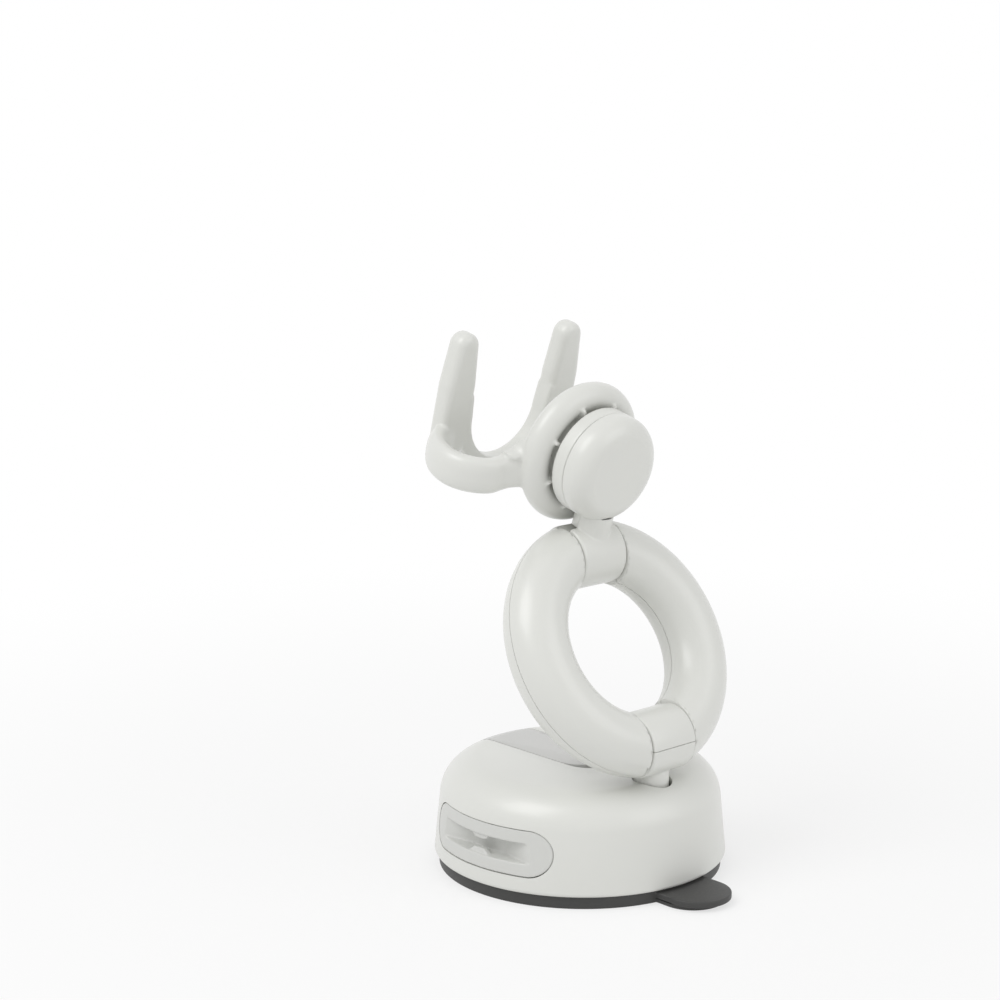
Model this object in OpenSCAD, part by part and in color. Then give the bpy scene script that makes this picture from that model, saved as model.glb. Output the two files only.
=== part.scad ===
// Dashboard phone mount: a lever suction base, a ring-shaped arm hinged at both
// ends, and a round head with a two-pronged fork that spins on it.
// Millimetres. The origin is the centre of the suction face, +Z is up, both
// hinges turn about X, and -Y is the side that the mount is used from.

/* [Suction pad] */
// Radius of the soft pad
pad_r = 31.8; // [30:0.1:33]
// Thickness of the pad, which is also the height of the shell's lower edge
pad_h = 2.8; // [2.4:0.1:3.4]
// Thickness of the pad's floor under the stud's disc
pad_floor = 0.9; // [0.6:0.1:1]
// Width of the pull tab
tab_w = 15; // [10:0.5:20]
// Reach of the pull tab from the base's axis
tab_reach = 43.5; // [40:0.5:50]
// Height of the finger step under the tab's tip
tab_step = 1; // [0.6:0.1:1.4]

/* [Base shell] */
// Radius of the shell's lower edge
shell_r = 33.2; // [32.6:0.1:36]
// Height of the shell's top
shell_top = 24.2; // [23:0.1:27]
// Radius of the shell's rounded shoulder
shoulder_r = 8.5; // [7:0.1:10]
// Radius of the flat part of the shell's top
shell_flat_r = 23.1; // [22:0.1:24]
// Wall thickness of the shell
shell_wall = 2; // [1.4:0.1:2.4]
// Thickness of the base plate
plate_h = 2; // [1.6:0.1:2.6]
// Distance of the shell's screws from the axis
shell_screw_r = 23; // [21:0.5:24]

/* [Suction lever] */
// Width of the lever
lever_w = 12.7; // [11.5:0.1:14]
// Reach of the lever's free end from the base's axis
lever_reach = 29.8; // [28:0.1:30.4]
// Thickness of the lever's panel
lever_h = 3.6; // [3:0.1:4]
// Height of the lever's pin
lever_pin_z = 18.5; // [18:0.1:19]
// Radius of the lever's pin
lever_pin_r = 1.3; // [1:0.1:1.6]
// Radius of the lever's two cams
cam_r = 5.5; // [5:0.1:5.8]
// Distance from the pin to the cams' centre
cam_offset = 2; // [1.6:0.1:2.2]
// Angle of that offset from straight down, towards the free end
cam_lead = 55; // [50:1:60]
// Radius of the pull stud's post
stud_r = 3.2; // [3:0.1:3.4]
// Radius of the disc that draws the pad up
stud_disc_r = 8; // [7:0.1:8.4]
// Thickness of that disc
stud_disc_h = 1.2; // [1:0.1:1.4]
// Turns of the release spring
spring_turns = 4; // [3:1:5]
// Wire radius of the release spring
spring_wire_r = 0.5; // [0.4:0.05:0.6]
// Mean radius of the release spring
spring_r = 5.4; // [5:0.1:6]

/* [Cable clip] */
// Angle of the clip's middle, from +X towards +Y
clip_angle = 1.5; // [0:0.5:8]
// Angle between the clip's middle and each of its ends
clip_half_span = 32.5; // [28:0.5:33]
// Height of the clip's lower edge
clip_z = 6.4; // [6:0.1:7]
// Height of the clip's face
clip_h = 10.2; // [9.6:0.1:10.6]
// Radius of the clip's inner side
clip_back_r = 27.2; // [26.8:0.1:27.6]
// Height of the cable slot
slot_h = 4.3; // [4.1:0.1:4.5]
// Radius of the slot's floor
slot_floor_r = 28.6; // [28.3:0.1:29]
// Angle between the middle of the slot's round stretch and each of its ends
slot_half_arc = 12; // [10:1:14]
// Angle at which the slot's floor runs out to the clip's face past that stretch
slot_flare = 20; // [16:1:24]
// Gap between the two teeth in the slot
tooth_gap = 2.1; // [1.8:0.1:2.6]
// Angle that the teeth cover
tooth_arc = 10; // [8:1:12]

/* [Stem] */
// Distance of the lower hinge inward from the shell's lower edge
stem_inset = 11.2; // [10.8:0.1:11.8]
// Height of the lower hinge
lower_hinge_z = 32.75; // [32.5:0.05:34]
// Radius of the stem
stem_r = 3.9; // [3.6:0.1:4.1]
// Radius of the stem's foot
foot_r = 7.2; // [6.8:0.1:7.6]
// Height of the stem's foot
foot_h = 5; // [4.4:0.1:6]
// Height of the barrel's parting above the hinge's axis
barrel_parting = 0.2; // [0:0.1:0.5]

/* [Ring arm] */
// Mean radius of the ring
ring_r = 22.4; // [21.6:0.1:24]
// Radius of the ring's tube and of both hinge barrels
tube_r = 7; // [6.6:0.1:7.1]
// Wall thickness of the ring's shells
ring_wall = 2; // [1.6:0.1:2.2]
// Lean of the ring from upright, towards the fork's side
ring_lean = 29.4; // [24:0.2:34]
// Length of a hinge barrel
barrel_w = 12.7; // [12:0.1:13.4]
// Running gap between a barrel's end and the ring's arc
barrel_gap = 0.3; // [0.2:0.05:0.4]
// Thickness of the wall that closes an arc's end
end_wall = 2.5; // [2:0.1:3]
// Radius of the hinge pins
hinge_pin_r = 2; // [1.7:0.1:2.1]
// Angle of a ring screw from the ring's middle height
ring_screw_angle = 48; // [44:1:50]

/* [Head] */
// Distance of the head's rear rim in front of the lower hinge
head_forward = 18.9; // [18.4:0.1:19.4]
// Height of the head's rear rim
head_z = 92.5; // [92.2:0.1:95]
// Dip of the head's cap below level
head_dip = 14.8; // [12:0.2:18]
// Radius of the head
head_r = 12.05; // [11.8:0.05:12.4]
// Depth of the collar
collar_w = 3.4; // [3:0.1:4]
// Depth of the whole head
head_w = 9.35; // [9:0.05:10]
// Wall thickness of the head
head_wall = 1.8; // [1.4:0.1:2]
// Radius of the cap's rounded edge
cap_edge_r = 4.2; // [3.6:0.1:4.6]
// Radius of the neck
neck_r = 4.3; // [4:0.1:4.3]
// Thickness of the neck's cover
neck_cover_t = 1.5; // [1.2:0.1:1.8]
// Radius of the journal that the fork turns on
journal_r = 5; // [4.6:0.1:5.2]
// Length of the journal behind the collar
journal_w = 5.9; // [5.6:0.1:6.2]
// Radius of the spindle screw
spindle_r = 2; // [1.6:0.1:2.2]

/* [Fork] */
// Mean radius of the fork's ring
fork_ring_r = 12.95; // [12.75:0.05:13.2]
// Radius of the section of the fork's ring
fork_section_r = 3.15; // [2.9:0.05:3.25]
// Distance of the fork's ring behind the collar's rim
fork_ring_w = 4.4; // [4.3:0.1:5]
// Thickness of an arm
arm_t = 4.4; // [3.8:0.1:4.6]
// Height of an arm
arm_h = 8; // [7:0.1:8.6]
// Drop of the arms' middle below the head's axis
arm_drop = 5; // [4.6:0.1:5.4]
// Distance of the arms' straight roots behind the collar's rim
arm_root_w = 9; // [8.8:0.1:9.6]
// Side distance at which an arm starts to curl
arm_curl_u = 19.8; // [19.4:0.1:20.4]
// Radius of the arm's first bend
arm_bend_r = 7; // [6.6:0.1:7.4]
// Radius of the arm's second bend
arm_return_r = 14.5; // [14:0.1:15]
// Half of the gap between the prongs
prong_gap = 11.6; // [11.4:0.1:12]
// Width of a prong
prong_w = 8.2; // [7.6:0.1:8.6]
// Thickness of the prongs
prong_t = 5.2; // [4.6:0.1:5.4]
// Height of the prongs' tips above the head's axis
prong_top = 20; // [18:0.5:22]
// Distance of the prongs' middle behind the collar's rim
prong_back = 29.7; // [29.3:0.1:29.8]
// Radius of the seat at the bottom of the fork
seat_r = 11; // [10.4:0.1:11.4]
// Wall of that seat
seat_wall = 3.7; // [3.2:0.1:4]
// Number of ribs behind the collar
fork_ribs = 8; // [6:1:10]

/* [Fasteners] */
// Radius of the small screws' shanks
screw_r = 1.25; // [1:0.05:1.3]
// Radius of their heads
screw_head_r = 2.1; // [1.8:0.05:2.2]
// Thickness of their heads
screw_head_h = 1.4; // [1.2:0.1:1.5]
// Thickness of a wave washer
washer_t = 0.7; // [0.5:0.05:0.8]

/* [Hidden] */
$fn = 96;

// Clearances: a seated piece, a turning one, a loose one, and a visible joint line
seat_gap = 0.03;
run_gap = 0.06;
loose_gap = 0.1;
line_gap = 0.25;
// Past this length a cut is sure to leave the piece
far = 120;
// Pilot depth below a screw's tip
tip_room = 0.4;
// A flat that runs into a round surface ends this far inside it
tuck = 0.05;

plate_top = pad_h + plate_h;
// The plate stays this far inside the shell's wall, which leans inward
plate_gap = 0.9;
plate_r = shell_r - shell_wall - plate_gap;
stem_y = shell_r - stem_inset;
lever_floor = shell_top - lever_h;
tray_wall = 1.7;
tray_floor = lever_floor - 1.5;
well_reach = cam_r + cam_offset + 0.8;
well_tail = 3.1;
recess_w = lever_w + 2 * line_gap;
scoop_r = 4.5;
cam_clearance = 0.12;
cam_seat_z = lever_pin_z - cam_r - cam_offset * cos(cam_lead) - cam_clearance;
cup_wall = 1.7;
cup_roof_h = 2;
cup_r = stud_disc_r + 0.6;
stud_disc_z = pad_h + 0.2;
eye_w = 4.6;
eye_gap = 0.5;
cheek_gap = 0.3;
shell_boss_r = 3;
shell_screw_l = 8.5;
stem_screw_l = 5;
stem_screw_pitch = 5.3;
slot_z = clip_z + (clip_h - slot_h) / 2;
slot_shift = 0.6;
slot_overlap = 1;
pocket_wall = 1.5;
tooth_depth = 2.8;
tooth_inset = 0.6;

// The ring stands on the lower hinge. Each hinge axis lies a little inside the
// ring's centre line, near the middle of the bow that the line makes there.
hinge_inset = 0.6;
ring_up = [0, -sin(ring_lean), cos(ring_lean)];
lower_hinge = [0, stem_y, lower_hinge_z];
ring_centre = lower_hinge + (ring_r - hinge_inset) * ring_up;
upper_hinge = ring_centre + (ring_r - hinge_inset) * ring_up;
arc_end = barrel_w / 2 + barrel_gap;
boss_r = 2.8;
ring_screw_seat = 3.2;
ring_screw_l = 7.6;
pin_head_r = 2.8;
pin_head_h = 1.2;
pin_stub = 0.8;
pin_head_gap = 0.15;
washer_r = 5;
washer_recess = washer_t - barrel_gap + loose_gap;

// The head's own frame has x across, y up and z along its axis to the prongs
head_turn = 90 - head_dip;
head_y = stem_y - head_forward;
head_point = [0, head_y, head_z];
head_axis = [0, -cos(head_dip), sin(head_dip)];
head_middle = head_point - head_w / 2 * head_axis;
neck_run = head_middle - upper_hinge;
neck_turn = atan2(-neck_run[1], neck_run[2]);
neck_l = norm(neck_run);
neck_cover_foot = 5.6;
web_t = 2;
nut_r = 3.9;
nut_h = 2.8;
nut_z = -6.2;
nut_rim = 0.5;
cap_lip = 1.2;

hub_front = 0.35;
hub_r = 8.6;
hub_seat = journal_w + loose_gap;
hub_bore_r = 6.8;
washer_disc_r = 6.5;
washer_disc_t = 0.8;
spindle_head_r = 3.3;
spindle_head_h = 1.6;
// The spindle screw ends this far inside the nut's far face
spindle_short = 0.3;
hub_cover_t = 1;
spindle_head_z = hub_seat + washer_disc_t + loose_gap;
hub_back = spindle_head_z + spindle_head_h + hub_cover_t + loose_gap;
fork_web_t = 2.5;
fork_rib_w = 0.9;
root_start = 10;
root_slant = 30;
root_bend_r = 8;
prong_tip_r = 3;
prong_taper = 8;

// Two-dimensional helpers

module rounded_box_2d(w, h, r) {
    square([w - 2 * r, h], center = true);
    square([w, h - 2 * r], center = true);
    for (x = [-1, 1], y = [-1, 1])
        translate([x * (w / 2 - r), y * (h / 2 - r)]) circle(r);
}

module pill_2d(l, h) {
    square([l - h, h], center = true);
    for (s = [-1, 1]) translate([s * (l - h) / 2, 0]) circle(h / 2);
}

// Half section of the shell's outside, drawn in by inset
module shell_section(inset) {
    r = shoulder_r - inset;
    c = [shell_flat_r, shell_top - shoulder_r];
    foot = [shell_r - inset, 0];
    d = norm(foot - c);
    // Angle at which the side leaves the foot and touches the shoulder's circle
    a = atan2(c[1] - foot[1], c[0] - foot[0]) - asin(r / d);
    run = sqrt(d * d - r * r);
    touch = foot + run * [cos(a), sin(a)];
    polygon([[0, 0], foot, touch, c, [0, c[1]]]);
    translate(c) intersection() {
        circle(r);
        translate([-r, -r / 2]) square(2 * r);
    }
    translate([0, c[1]]) square([c[0], r]);
}

module shell_solid(inset = 0, from = 0) {
    intersection() {
        rotate_extrude() intersection() {
            shell_section(inset);
            square(far);
        }
        translate([0, 0, from]) cylinder(r = far, h = far);
    }
}

// Frames and fasteners

module at_ring() {
    translate(ring_centre) rotate([90 + ring_lean, 0, 0]) children();
}

module at_head() {
    translate(head_point) rotate([head_turn, 0, 0]) children();
}

module along_x(r, l) {
    rotate([0, 90, 0]) cylinder(r = r, h = l, center = true);
}

module screw(r, l, head_r, head_h) {
    cross_l = 1.2 * head_r;
    cross_w = 0.24 * head_r;
    difference() {
        union() {
            cylinder(r = head_r, h = head_h);
            translate([0, 0, -l]) cylinder(r = r, h = l + head_h / 2);
        }
        for (turn = [0, 90]) rotate([0, 0, turn])
            translate([-cross_l / 2, -cross_w / 2, head_h / 2]) cube([cross_l, cross_w, head_h]);
    }
}

module small_screw(l) {
    screw(screw_r, l, screw_head_r, screw_head_h);
}

module at_shell_screws() {
    for (a = [45 : 90 : 315]) rotate([0, 0, a]) translate([shell_screw_r, 0, 0]) children();
}

module at_stem_screws() {
    for (a = [90 : 120 : 330]) translate([0, stem_y, 0]) rotate([0, 0, a])
        translate([stem_screw_pitch, 0, 0]) children();
}

// Screws that come up through the plate stand on their heads in it
module plate_screw(l) {
    translate([0, 0, pad_h + screw_head_h + seat_gap]) mirror([0, 0, 1]) small_screw(l);
}

// Base

module tab_outline(reach) {
    translate([-tab_w / 2, 0]) square([tab_w, reach - tab_w / 2]);
    translate([0, reach - tab_w / 2]) circle(tab_w / 2);
}

module suction_pad() {
    tab_inset = 1.8;
    tab_h = 1.4;
    color([0.27, 0.27, 0.26]) difference() {
        union() {
            cylinder(r = pad_r, h = pad_h);
            translate([0, 0, tab_step]) linear_extrude(tab_h) tab_outline(tab_reach);
            linear_extrude(tab_step) tab_outline(tab_reach - tab_inset);
        }
        translate([0, 0, pad_floor]) cylinder(r = cup_r, h = pad_h);
    }
}

module base_plate() {
    color([0.80, 0.80, 0.79]) difference() {
        union() {
            translate([0, 0, pad_h])
                cylinder(r = plate_r, h = plate_h);
            translate([0, 0, pad_h]) cylinder(r = cup_r + cup_wall, h = cam_seat_z - pad_h);
        }
        translate([0, 0, pad_h - 1]) cylinder(r = cup_r, h = cam_seat_z - cup_roof_h - pad_h + 1);
        cylinder(r = stud_r + run_gap, h = far);
        at_shell_screws() plate_screw_hole();
        at_stem_screws() plate_screw_hole();
    }
}

module plate_screw_hole() {
    translate([0, 0, pad_h - 1]) cylinder(r = screw_r + seat_gap, h = plate_h + 2);
    translate([0, 0, pad_h - 1])
        cylinder(r = screw_head_r + seat_gap, h = screw_head_h + seat_gap + 1);
}

// Outline of the lever, grown by gap on every side, with its round end at tail
module lever_outline(gap, tail, reach) {
    w = lever_w / 2 + gap;
    translate([0, tail]) circle(w);
    translate([-w, -reach]) square([2 * w, reach + tail]);
}

module clip_prism(grow) {
    l = 2 * shell_r * sin(clip_half_span) + 2 * grow;
    rotate([0, 0, clip_angle]) rotate([90, 0, 90])
        translate([0, clip_z + clip_h / 2, 0]) linear_extrude(far) pill_2d(l, clip_h + 2 * grow);
}

module lever_tray() {
    intersection() {
        shell_solid(shell_wall / 2);
        translate([0, 0, tray_floor - tray_wall])
            linear_extrude(far) lever_outline(line_gap + tray_wall, well_tail, far);
    }
}

module clip_pocket() {
    difference() {
        intersection() {
            shell_solid(shell_wall / 2);
            clip_prism(pocket_wall);
        }
        cylinder(r = clip_back_r - pocket_wall, h = far);
    }
}

module shell_bosses() {
    intersection() {
        shell_solid(shell_wall / 2);
        at_shell_screws() translate([0, 0, plate_top]) cylinder(r = shell_boss_r, h = far);
    }
}

module base_shell() {
    color([0.86, 0.86, 0.84]) difference() {
        union() {
            difference() {
                shell_solid(0, pad_h);
                shell_solid(shell_wall);
            }
            lever_tray();
            clip_pocket();
            shell_bosses();
        }
        // Recess for the lever, and the well under its cams
        translate([0, 0, tray_floor]) linear_extrude(far) lever_outline(line_gap, well_tail, far);
        linear_extrude(far) intersection() {
            lever_outline(line_gap, well_tail, well_reach);
            translate([-far / 2, -well_reach]) square(far);
        }
        // Finger scoop under the lever's free end
        translate([0, -shell_r - scoop_r / 4, tray_floor]) along_x(scoop_r, recess_w);
        // Slot round the stem
        translate([0, stem_y, pad_h + shell_wall]) linear_extrude(far) {
            circle(stem_r + line_gap);
            translate([0, slot_shift]) circle(stem_r + line_gap);
        }
        // Seat of the cable clip
        difference() {
            clip_prism(seat_gap);
            cylinder(r = clip_back_r - seat_gap, h = far);
        }
        at_shell_screws() translate([0, 0, plate_top - 1])
            cylinder(r = screw_r + seat_gap, h = shell_screw_l - plate_h + tip_room + screw_head_h + 1);
    }
}

// The slot's floor is round in the middle, and past that stretch it runs
// straight out to the clip's face, which opens the slot sideways
module cable_slot() {
    difference() {
        translate([0, -far / 2, slot_z]) cube([far, far, slot_h]);
        cylinder(r = slot_floor_r, h = far);
        for (side = [0, 1]) rotate([0, 0, clip_angle]) mirror([0, side, 0])
            rotate([0, 0, slot_half_arc]) translate([slot_floor_r - tuck, -slot_overlap, 0])
                rotate([0, 0, -slot_flare]) translate([-far, 0, 0]) cube([far, far, far]);
    }
}

module cable_teeth() {
    tooth_h = (slot_h - tooth_gap) / 2;
    intersection() {
        shell_solid(tooth_inset);
        rotate([0, 0, clip_angle - tooth_arc / 2]) rotate_extrude(angle = tooth_arc)
            for (z = [slot_z - seat_gap, slot_z + slot_h - tooth_h + seat_gap])
                translate([shell_r - tooth_depth, z]) square([tooth_depth, tooth_h]);
    }
}

module cable_clip() {
    color([0.83, 0.83, 0.81]) union() {
        difference() {
            intersection() {
                shell_solid();
                clip_prism(0);
            }
            cylinder(r = clip_back_r, h = far);
            cable_slot();
        }
        cable_teeth();
    }
}

module shell_screws() {
    color("silver") at_shell_screws() plate_screw(shell_screw_l);
}

// Barrel of a hinge, with its bore and the seats of its two wave washers
module hinge_barrel() {
    difference() {
        along_x(tube_r, barrel_w);
        along_x(hinge_pin_r + run_gap, far);
        for (s = [-1, 1]) translate([s * (barrel_w / 2 + far / 2 - washer_recess), 0, 0])
            along_x(washer_r + line_gap, far);
    }
}

// Everything under the plane on which the lower barrel parts
module below_parting() {
    translate([-far, -far, lower_hinge_z + barrel_parting - 2 * far])
        cube([2 * far, 2 * far, 2 * far]);
}

module stem_yoke() {
    color([0.85, 0.85, 0.83]) difference() {
        union() {
            intersection() {
                translate(lower_hinge) hinge_barrel();
                below_parting();
            }
            difference() {
                translate([0, stem_y, plate_top])
                    cylinder(r = stem_r, h = lower_hinge_z - tube_r / 2 - plate_top);
                translate(lower_hinge) along_x(tube_r - 1, far);
            }
            translate([0, stem_y, plate_top]) cylinder(r = foot_r, h = foot_h);
        }
        at_stem_screws() translate([0, 0, plate_top - 1])
            cylinder(r = screw_r + seat_gap, h = stem_screw_l - plate_h + tip_room + screw_head_h + 1);
    }
}

module stem_cap() {
    color([0.86, 0.86, 0.84]) difference() {
        translate(lower_hinge) hinge_barrel();
        below_parting();
    }
}

module stem_screws() {
    color("silver") at_stem_screws() plate_screw(stem_screw_l);
}

// A coil of round wire as one closed sweep: rings of points, then end fans
function coil_ring(r, wire, a, z, n) = [
    for (k = [0 : n - 1]) let (b = 360 * k / n)
        [(r + wire * cos(b)) * cos(a), (r + wire * cos(b)) * sin(a), z + wire * sin(b)]
];

module coil(r, wire, turns, z0, z1) {
    sides = 8;
    rings = turns * 20;
    points = [
        for (i = [0 : rings]) each coil_ring(r, wire, 360 * turns * i / rings,
            z0 + wire + (z1 - z0 - 2 * wire) * i / rings, sides)
    ];
    walls = [
        for (i = [0 : rings - 1], k = [0 : sides - 1]) let (n = (k + 1) % sides)
            [i * sides + k, i * sides + n, (i + 1) * sides + n, (i + 1) * sides + k]
    ];
    ends = [
        [for (k = [sides - 1 : -1 : 0]) k],
        [for (k = [0 : sides - 1]) rings * sides + k]
    ];
    polyhedron(points, concat(walls, ends), convexity = 10);
}

module release_spring() {
    color("silver") coil(spring_r, spring_wire_r, spring_turns,
        stud_disc_z + stud_disc_h + seat_gap, cam_seat_z - cup_roof_h - seat_gap);
}

// Pull stud and lever

module pull_stud() {
    color("gray") difference() {
        union() {
            translate([0, 0, stud_disc_z]) cylinder(r = stud_disc_r, h = stud_disc_h);
            translate([0, 0, stud_disc_z])
                cylinder(r = stud_r, h = cam_seat_z - cam_clearance - stud_disc_z);
            // The eye between the cams is no wider than the bore it comes up through
            intersection() {
                union() {
                    translate([0, 0, lever_pin_z]) along_x(stud_r, eye_w);
                    translate([-eye_w / 2, -stud_r, cam_seat_z - 1])
                        cube([eye_w, 2 * stud_r, lever_pin_z - cam_seat_z + 1]);
                }
                cylinder(r = stud_r, h = far);
            }
        }
        translate([0, 0, lever_pin_z]) along_x(lever_pin_r, far);
    }
}

module lever_pin() {
    color("silver") translate([0, 0, lever_pin_z]) along_x(lever_pin_r, lever_w - 2 * tray_wall);
}

module suction_lever() {
    cheek_inner = eye_w / 2 + cheek_gap;
    cam_shift = cam_offset * [0, -sin(cam_lead), -cos(cam_lead)];
    color([0.79, 0.79, 0.78]) difference() {
        union() {
            intersection() {
                shell_solid();
                translate([0, 0, lever_floor])
                    linear_extrude(far) lever_outline(0, 0, lever_reach);
            }
            translate([0, 0, lever_pin_z] + cam_shift) along_x(cam_r, lever_w);
        }
        // Slot between the cheeks, where the stud's eye stands
        translate([-cheek_inner, -far / 2, lever_floor - far])
            cube([2 * cheek_inner, far, far]);
        translate([0, 0, lever_pin_z]) along_x(lever_pin_r + run_gap, lever_w - tray_wall);
        translate([0, 0, lever_pin_z]) along_x(stud_r + eye_gap, 2 * cheek_inner);
    }
}

// Ring arm

module ring_solid(r) {
    rotate([0, 0, -90]) rotate_extrude(angle = 180) translate([ring_r, 0]) circle(r);
}

module at_ring_screws() {
    for (a = [-ring_screw_angle, 0, ring_screw_angle])
        rotate([0, 0, a]) translate([ring_r, 0, 0]) children();
}

// One quarter of the ring: the right arc's front half, or its back half
module arc_quarter(front) {
    difference() {
        intersection() {
            union() {
                difference() {
                    ring_solid(tube_r);
                    ring_solid(tube_r - ring_wall);
                }
                intersection() {
                    ring_solid(tube_r - ring_wall / 2);
                    union() {
                        translate([arc_end, -far / 2, -far / 2]) cube([end_wall, far, far]);
                        at_ring_screws() cylinder(r = boss_r, h = 4 * tube_r, center = true);
                    }
                }
            }
            translate([arc_end, -far / 2, 0]) cube([far, far, far]);
        }
        for (s = [-1, 1]) translate([0, s * (ring_r - hinge_inset), 0])
            along_x(hinge_pin_r + seat_gap, 2 * (arc_end + end_wall + loose_gap));
        at_ring_screws() {
            if (front) {
                translate([0, 0, -1]) cylinder(r = screw_r + seat_gap, h = far);
                translate([0, 0, ring_screw_seat]) cylinder(r = screw_head_r + loose_gap, h = far);
            } else {
                translate([0, 0, -1])
                    cylinder(r = screw_r + seat_gap, h = ring_screw_l - ring_screw_seat + tip_room + 1);
            }
        }
    }
}

module ring_left_front() {
    color([0.86, 0.86, 0.84]) at_ring() mirror([1, 0, 0]) arc_quarter(true);
}

module ring_left_back() {
    color([0.85, 0.85, 0.83]) at_ring() mirror([1, 0, 0]) mirror([0, 0, 1]) arc_quarter(false);
}

module ring_right_front() {
    color([0.86, 0.86, 0.84]) at_ring() arc_quarter(true);
}

module ring_right_back() {
    color([0.85, 0.85, 0.83]) at_ring() mirror([0, 0, 1]) arc_quarter(false);
}

module ring_screws() {
    color("silver") at_ring() for (side = [0, 1]) mirror([side, 0, 0])
        at_ring_screws() translate([0, 0, ring_screw_seat + seat_gap]) small_screw(ring_screw_l);
}

module hinge_pin() {
    reach = arc_end + end_wall + pin_head_gap;
    along_x(hinge_pin_r, 2 * (reach + pin_head_h + pin_stub));
    for (s = [-1, 1]) translate([s * (reach + pin_head_h / 2), 0, 0])
        along_x(pin_head_r, pin_head_h);
}

module lower_hinge_pin() {
    color("silver") translate(lower_hinge) hinge_pin();
}

module upper_hinge_pin() {
    color("silver") translate(upper_hinge) hinge_pin();
}

module wave_washers() {
    for (s = [-1, 1]) translate([s * (arc_end - seat_gap - washer_t / 2), 0, 0]) difference() {
        along_x(washer_r, washer_t);
        along_x(hinge_pin_r + run_gap, far);
    }
}

module lower_wave_washers() {
    color("silver") translate(lower_hinge) wave_washers();
}

module upper_wave_washers() {
    color("silver") translate(upper_hinge) wave_washers();
}

// Head

module neck_post(r, from = 0) {
    translate(upper_hinge) rotate([neck_turn, 0, 0])
        translate([0, 0, from]) cylinder(r = r, h = neck_l - from);
}

// The cover is the front half of the neck's skin, above its foot
module neck_cover_zone(gap) {
    translate(upper_hinge) rotate([neck_turn, 0, 0]) difference() {
        translate([-far / 2, -far - gap, neck_cover_foot + gap]) cube([far, far, far]);
        cylinder(r = neck_r - neck_cover_t + gap, h = far);
    }
}

module head_collar() {
    color([0.86, 0.86, 0.84]) difference() {
        union() {
            at_head() {
                difference() {
                    translate([0, 0, -collar_w]) cylinder(r = head_r, h = collar_w);
                    translate([0, 0, -head_w])
                        cylinder(r = head_r - head_wall, h = head_w - web_t);
                }
                translate([0, 0, -web_t / 2])
                    cylinder(r = journal_r, h = journal_w + web_t / 2);
                translate([0, 0, nut_z - nut_rim])
                    cylinder(r = journal_r + nut_rim, h = nut_rim - nut_z - web_t / 2);
            }
            difference() {
                neck_post(neck_r);
                neck_cover_zone(0);
                translate(upper_hinge) along_x(tube_r - 1, far);
                at_head() translate([0, 0, -far / 2]) cylinder(r = head_r - head_wall / 2, h = far);
            }
            translate(upper_hinge) hinge_barrel();
        }
        at_head() {
            translate([0, 0, -head_w]) cylinder(r = spindle_r + seat_gap, h = far);
            translate([0, 0, nut_z - 1]) cylinder(r = nut_r + seat_gap, h = nut_h + 1, $fn = 6);
        }
    }
}

module head_cap() {
    color([0.85, 0.85, 0.83]) difference() {
        at_head() union() {
            rotate_extrude() difference() {
                cap_section(0);
                cap_section(head_wall);
            }
            translate([0, 0, -collar_w]) difference() {
                union() {
                    translate([0, 0, -1]) cylinder(r = head_r - head_wall / 2, h = 1);
                    translate([0, 0, -1]) cylinder(r = head_r - head_wall - seat_gap, h = cap_lip + 1);
                }
                translate([0, 0, -2]) cylinder(r = head_r - 2 * head_wall, h = cap_lip + 3);
            }
        }
        neck_post(neck_r + loose_gap);
    }
}

// Half section of the cap, drawn in by inset
module cap_section(inset) {
    r = cap_edge_r - inset;
    top = -head_w + inset;
    side = head_r - inset;
    translate([0, top + r]) square([side, head_w - collar_w - inset - r]);
    translate([0, top]) square([side - r, r + 0.01]);
    translate([side - r, top + r]) intersection() {
        circle(r);
        translate([0, -r]) square(r);
    }
}

module neck_cover() {
    color([0.84, 0.84, 0.82]) difference() {
        intersection() {
            neck_post(neck_r);
            neck_cover_zone(seat_gap);
        }
        translate(upper_hinge) along_x(tube_r + seat_gap, far);
        at_head() translate([0, 0, -far / 2]) cylinder(r = head_r + loose_gap, h = far);
    }
}

module spindle_screw() {
    color("silver") at_head() translate([0, 0, spindle_head_z])
        screw(spindle_r, spindle_head_z - nut_z - spindle_short, spindle_head_r, spindle_head_h);
}

module spindle_washer() {
    color("silver") at_head() translate([0, 0, hub_seat + 0.05]) difference() {
        cylinder(r = washer_disc_r, h = washer_disc_t);
        translate([0, 0, -1]) cylinder(r = spindle_r + seat_gap, h = washer_disc_t + 2);
    }
}

module spindle_nut() {
    color("silver") at_head() translate([0, 0, nut_z]) difference() {
        cylinder(r = nut_r, h = nut_h - seat_gap, $fn = 6);
        translate([0, 0, -1]) cylinder(r = spindle_r + seat_gap, h = nut_h + 2);
    }
}

// Fork

module arm_section() {
    rounded_box_2d(arm_t, arm_h, arm_t / 2 - 0.1);
}

// A bend of the arm round a point in the u-w plane, from angle a0 to angle a1
module arm_bend(centre, r, a0, a1) {
    translate([centre[0], -arm_drop, centre[1]]) rotate([-90, 0, 0]) rotate([0, 0, -a1])
        rotate_extrude(angle = a1 - a0) translate([r, 0]) arm_section();
}

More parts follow.
